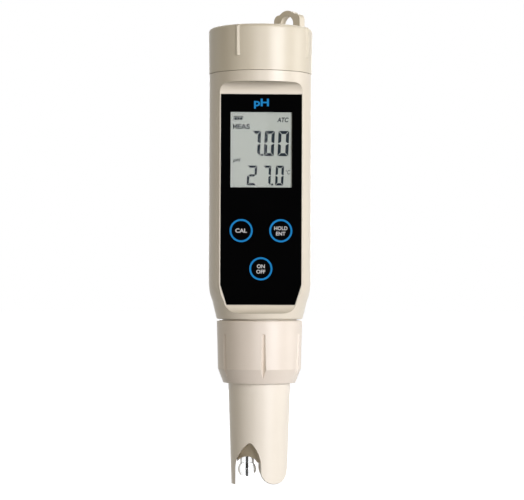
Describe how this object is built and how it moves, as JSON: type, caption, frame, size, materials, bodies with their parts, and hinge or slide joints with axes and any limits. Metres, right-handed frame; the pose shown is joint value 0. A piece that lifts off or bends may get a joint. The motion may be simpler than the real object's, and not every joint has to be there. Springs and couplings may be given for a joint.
{
  "type": "pocket pH tester",
  "caption": "Upright pocket pH tester with a display, push keys, a screw-on battery cap with a lanyard eye, and a probe held by a grooved screw collar.",
  "frame": {"origin": "on the tester's axis, level with the tips of the probe's guard", "axes": "+Z along the axis from the probe's tip to the cap's lug, and -Y towards the display"},
  "size_m": [0.04, 0.04, 0.184],
  "materials": {
    "shell": "fine satin",
    "collar": "fine satin",
    "guard": "fine satin",
    "overlay": "satin film",
    "key": "satin film",
    "window": "clear",
    "lcd": "clear",
    "reflector": "matt",
    "plate": "moulded",
    "frame": "moulded",
    "silicone": "matt",
    "seal": "matt",
    "board": "solder mask",
    "chip": "moulded epoxy",
    "can": "drawn",
    "steel": "plated",
    "gold": "plated",
    "cell": "plated",
    "bulb": "clear",
    "wire": "coated silver",
    "plug": "cast",
    "gel": "gel",
    "potting": "resin",
    "junction": "porous"
  },
  "bodies": {
    "barrel": {"housing": "shell", "face_plate": "plate", "face_overlay": "overlay", "lcd_window": "window", "lcd_glass": "lcd", "lcd_reflector": "reflector", "lcd_frame": "frame", "zebra_strips": "silicone", "main_board": "board", "board_screws": "steel", "key_switches": "steel", "microcontroller": "chip", "amplifier_chip": "chip", "quartz_crystal": "can", "capacitors": "can", "chip_parts": "steel", "pin_socket": "plate", "battery_tray": "plate", "button_cells": "cell", "battery_contact": "steel", "battery_spring": "steel", "contact_strips": "steel"},
    "cap_lift": {"cap_gasket": "seal"},
    "cap": {"battery_cap": "shell"},
    "probe": {"probe_guard": "guard", "end_plug": "plug", "reference_gel": "gel", "probe_potting": "potting", "glass_bulb": "bulb", "inner_wire": "wire", "reference_junction": "junction", "reference_wire": "wire", "temperature_probe": "steel", "probe_board": "board", "contact_pins": "gold", "probe_seal": "seal"},
    "screw_collar": {"collar": "collar"},
    "cal_button": {"cal_key": "key"},
    "hold_button": {"hold_key": "key"},
    "power_button": {"power_key": "key"}
  },
  "joints": [
    {"name": "cap_rise", "type": "slide", "parent": "barrel", "child": "cap_lift", "axis": [0, 0, 1], "range_m": [0, 0.009]},
    {"name": "cap_turn", "type": "hinge", "parent": "cap_lift", "child": "cap", "pos_m": [0, 0, 0.16], "axis": [0, 0, 1], "range_deg": [0, 1080]},
    {"name": "probe_drop", "type": "slide", "parent": "barrel", "child": "probe", "axis": [0, 0, -1], "range_m": [0, 0.0105]},
    {"name": "collar_turn", "type": "hinge", "parent": "probe", "child": "screw_collar", "pos_m": [0, 0, 0.05], "axis": [0, 0, 1], "range_deg": [0, 1260]},
    {"name": "cal_press", "type": "slide", "parent": "barrel", "child": "cal_button", "axis": [0, 1, 0], "range_m": [0, 0.00035], "stiffness_N_per_m": 4000},
    {"name": "hold_press", "type": "slide", "parent": "barrel", "child": "hold_button", "axis": [0, 1, 0], "range_m": [0, 0.00035], "stiffness_N_per_m": 4000},
    {"name": "power_press", "type": "slide", "parent": "barrel", "child": "power_button", "axis": [0, 1, 0], "range_m": [0, 0.00035], "stiffness_N_per_m": 4000}
  ],
  "couplings": [
    {"joint": "cap_turn", "follows": "cap_rise", "rad_per_m": 2094.4},
    {"joint": "collar_turn", "follows": "probe_drop", "rad_per_m": 2094.4}
  ]
}
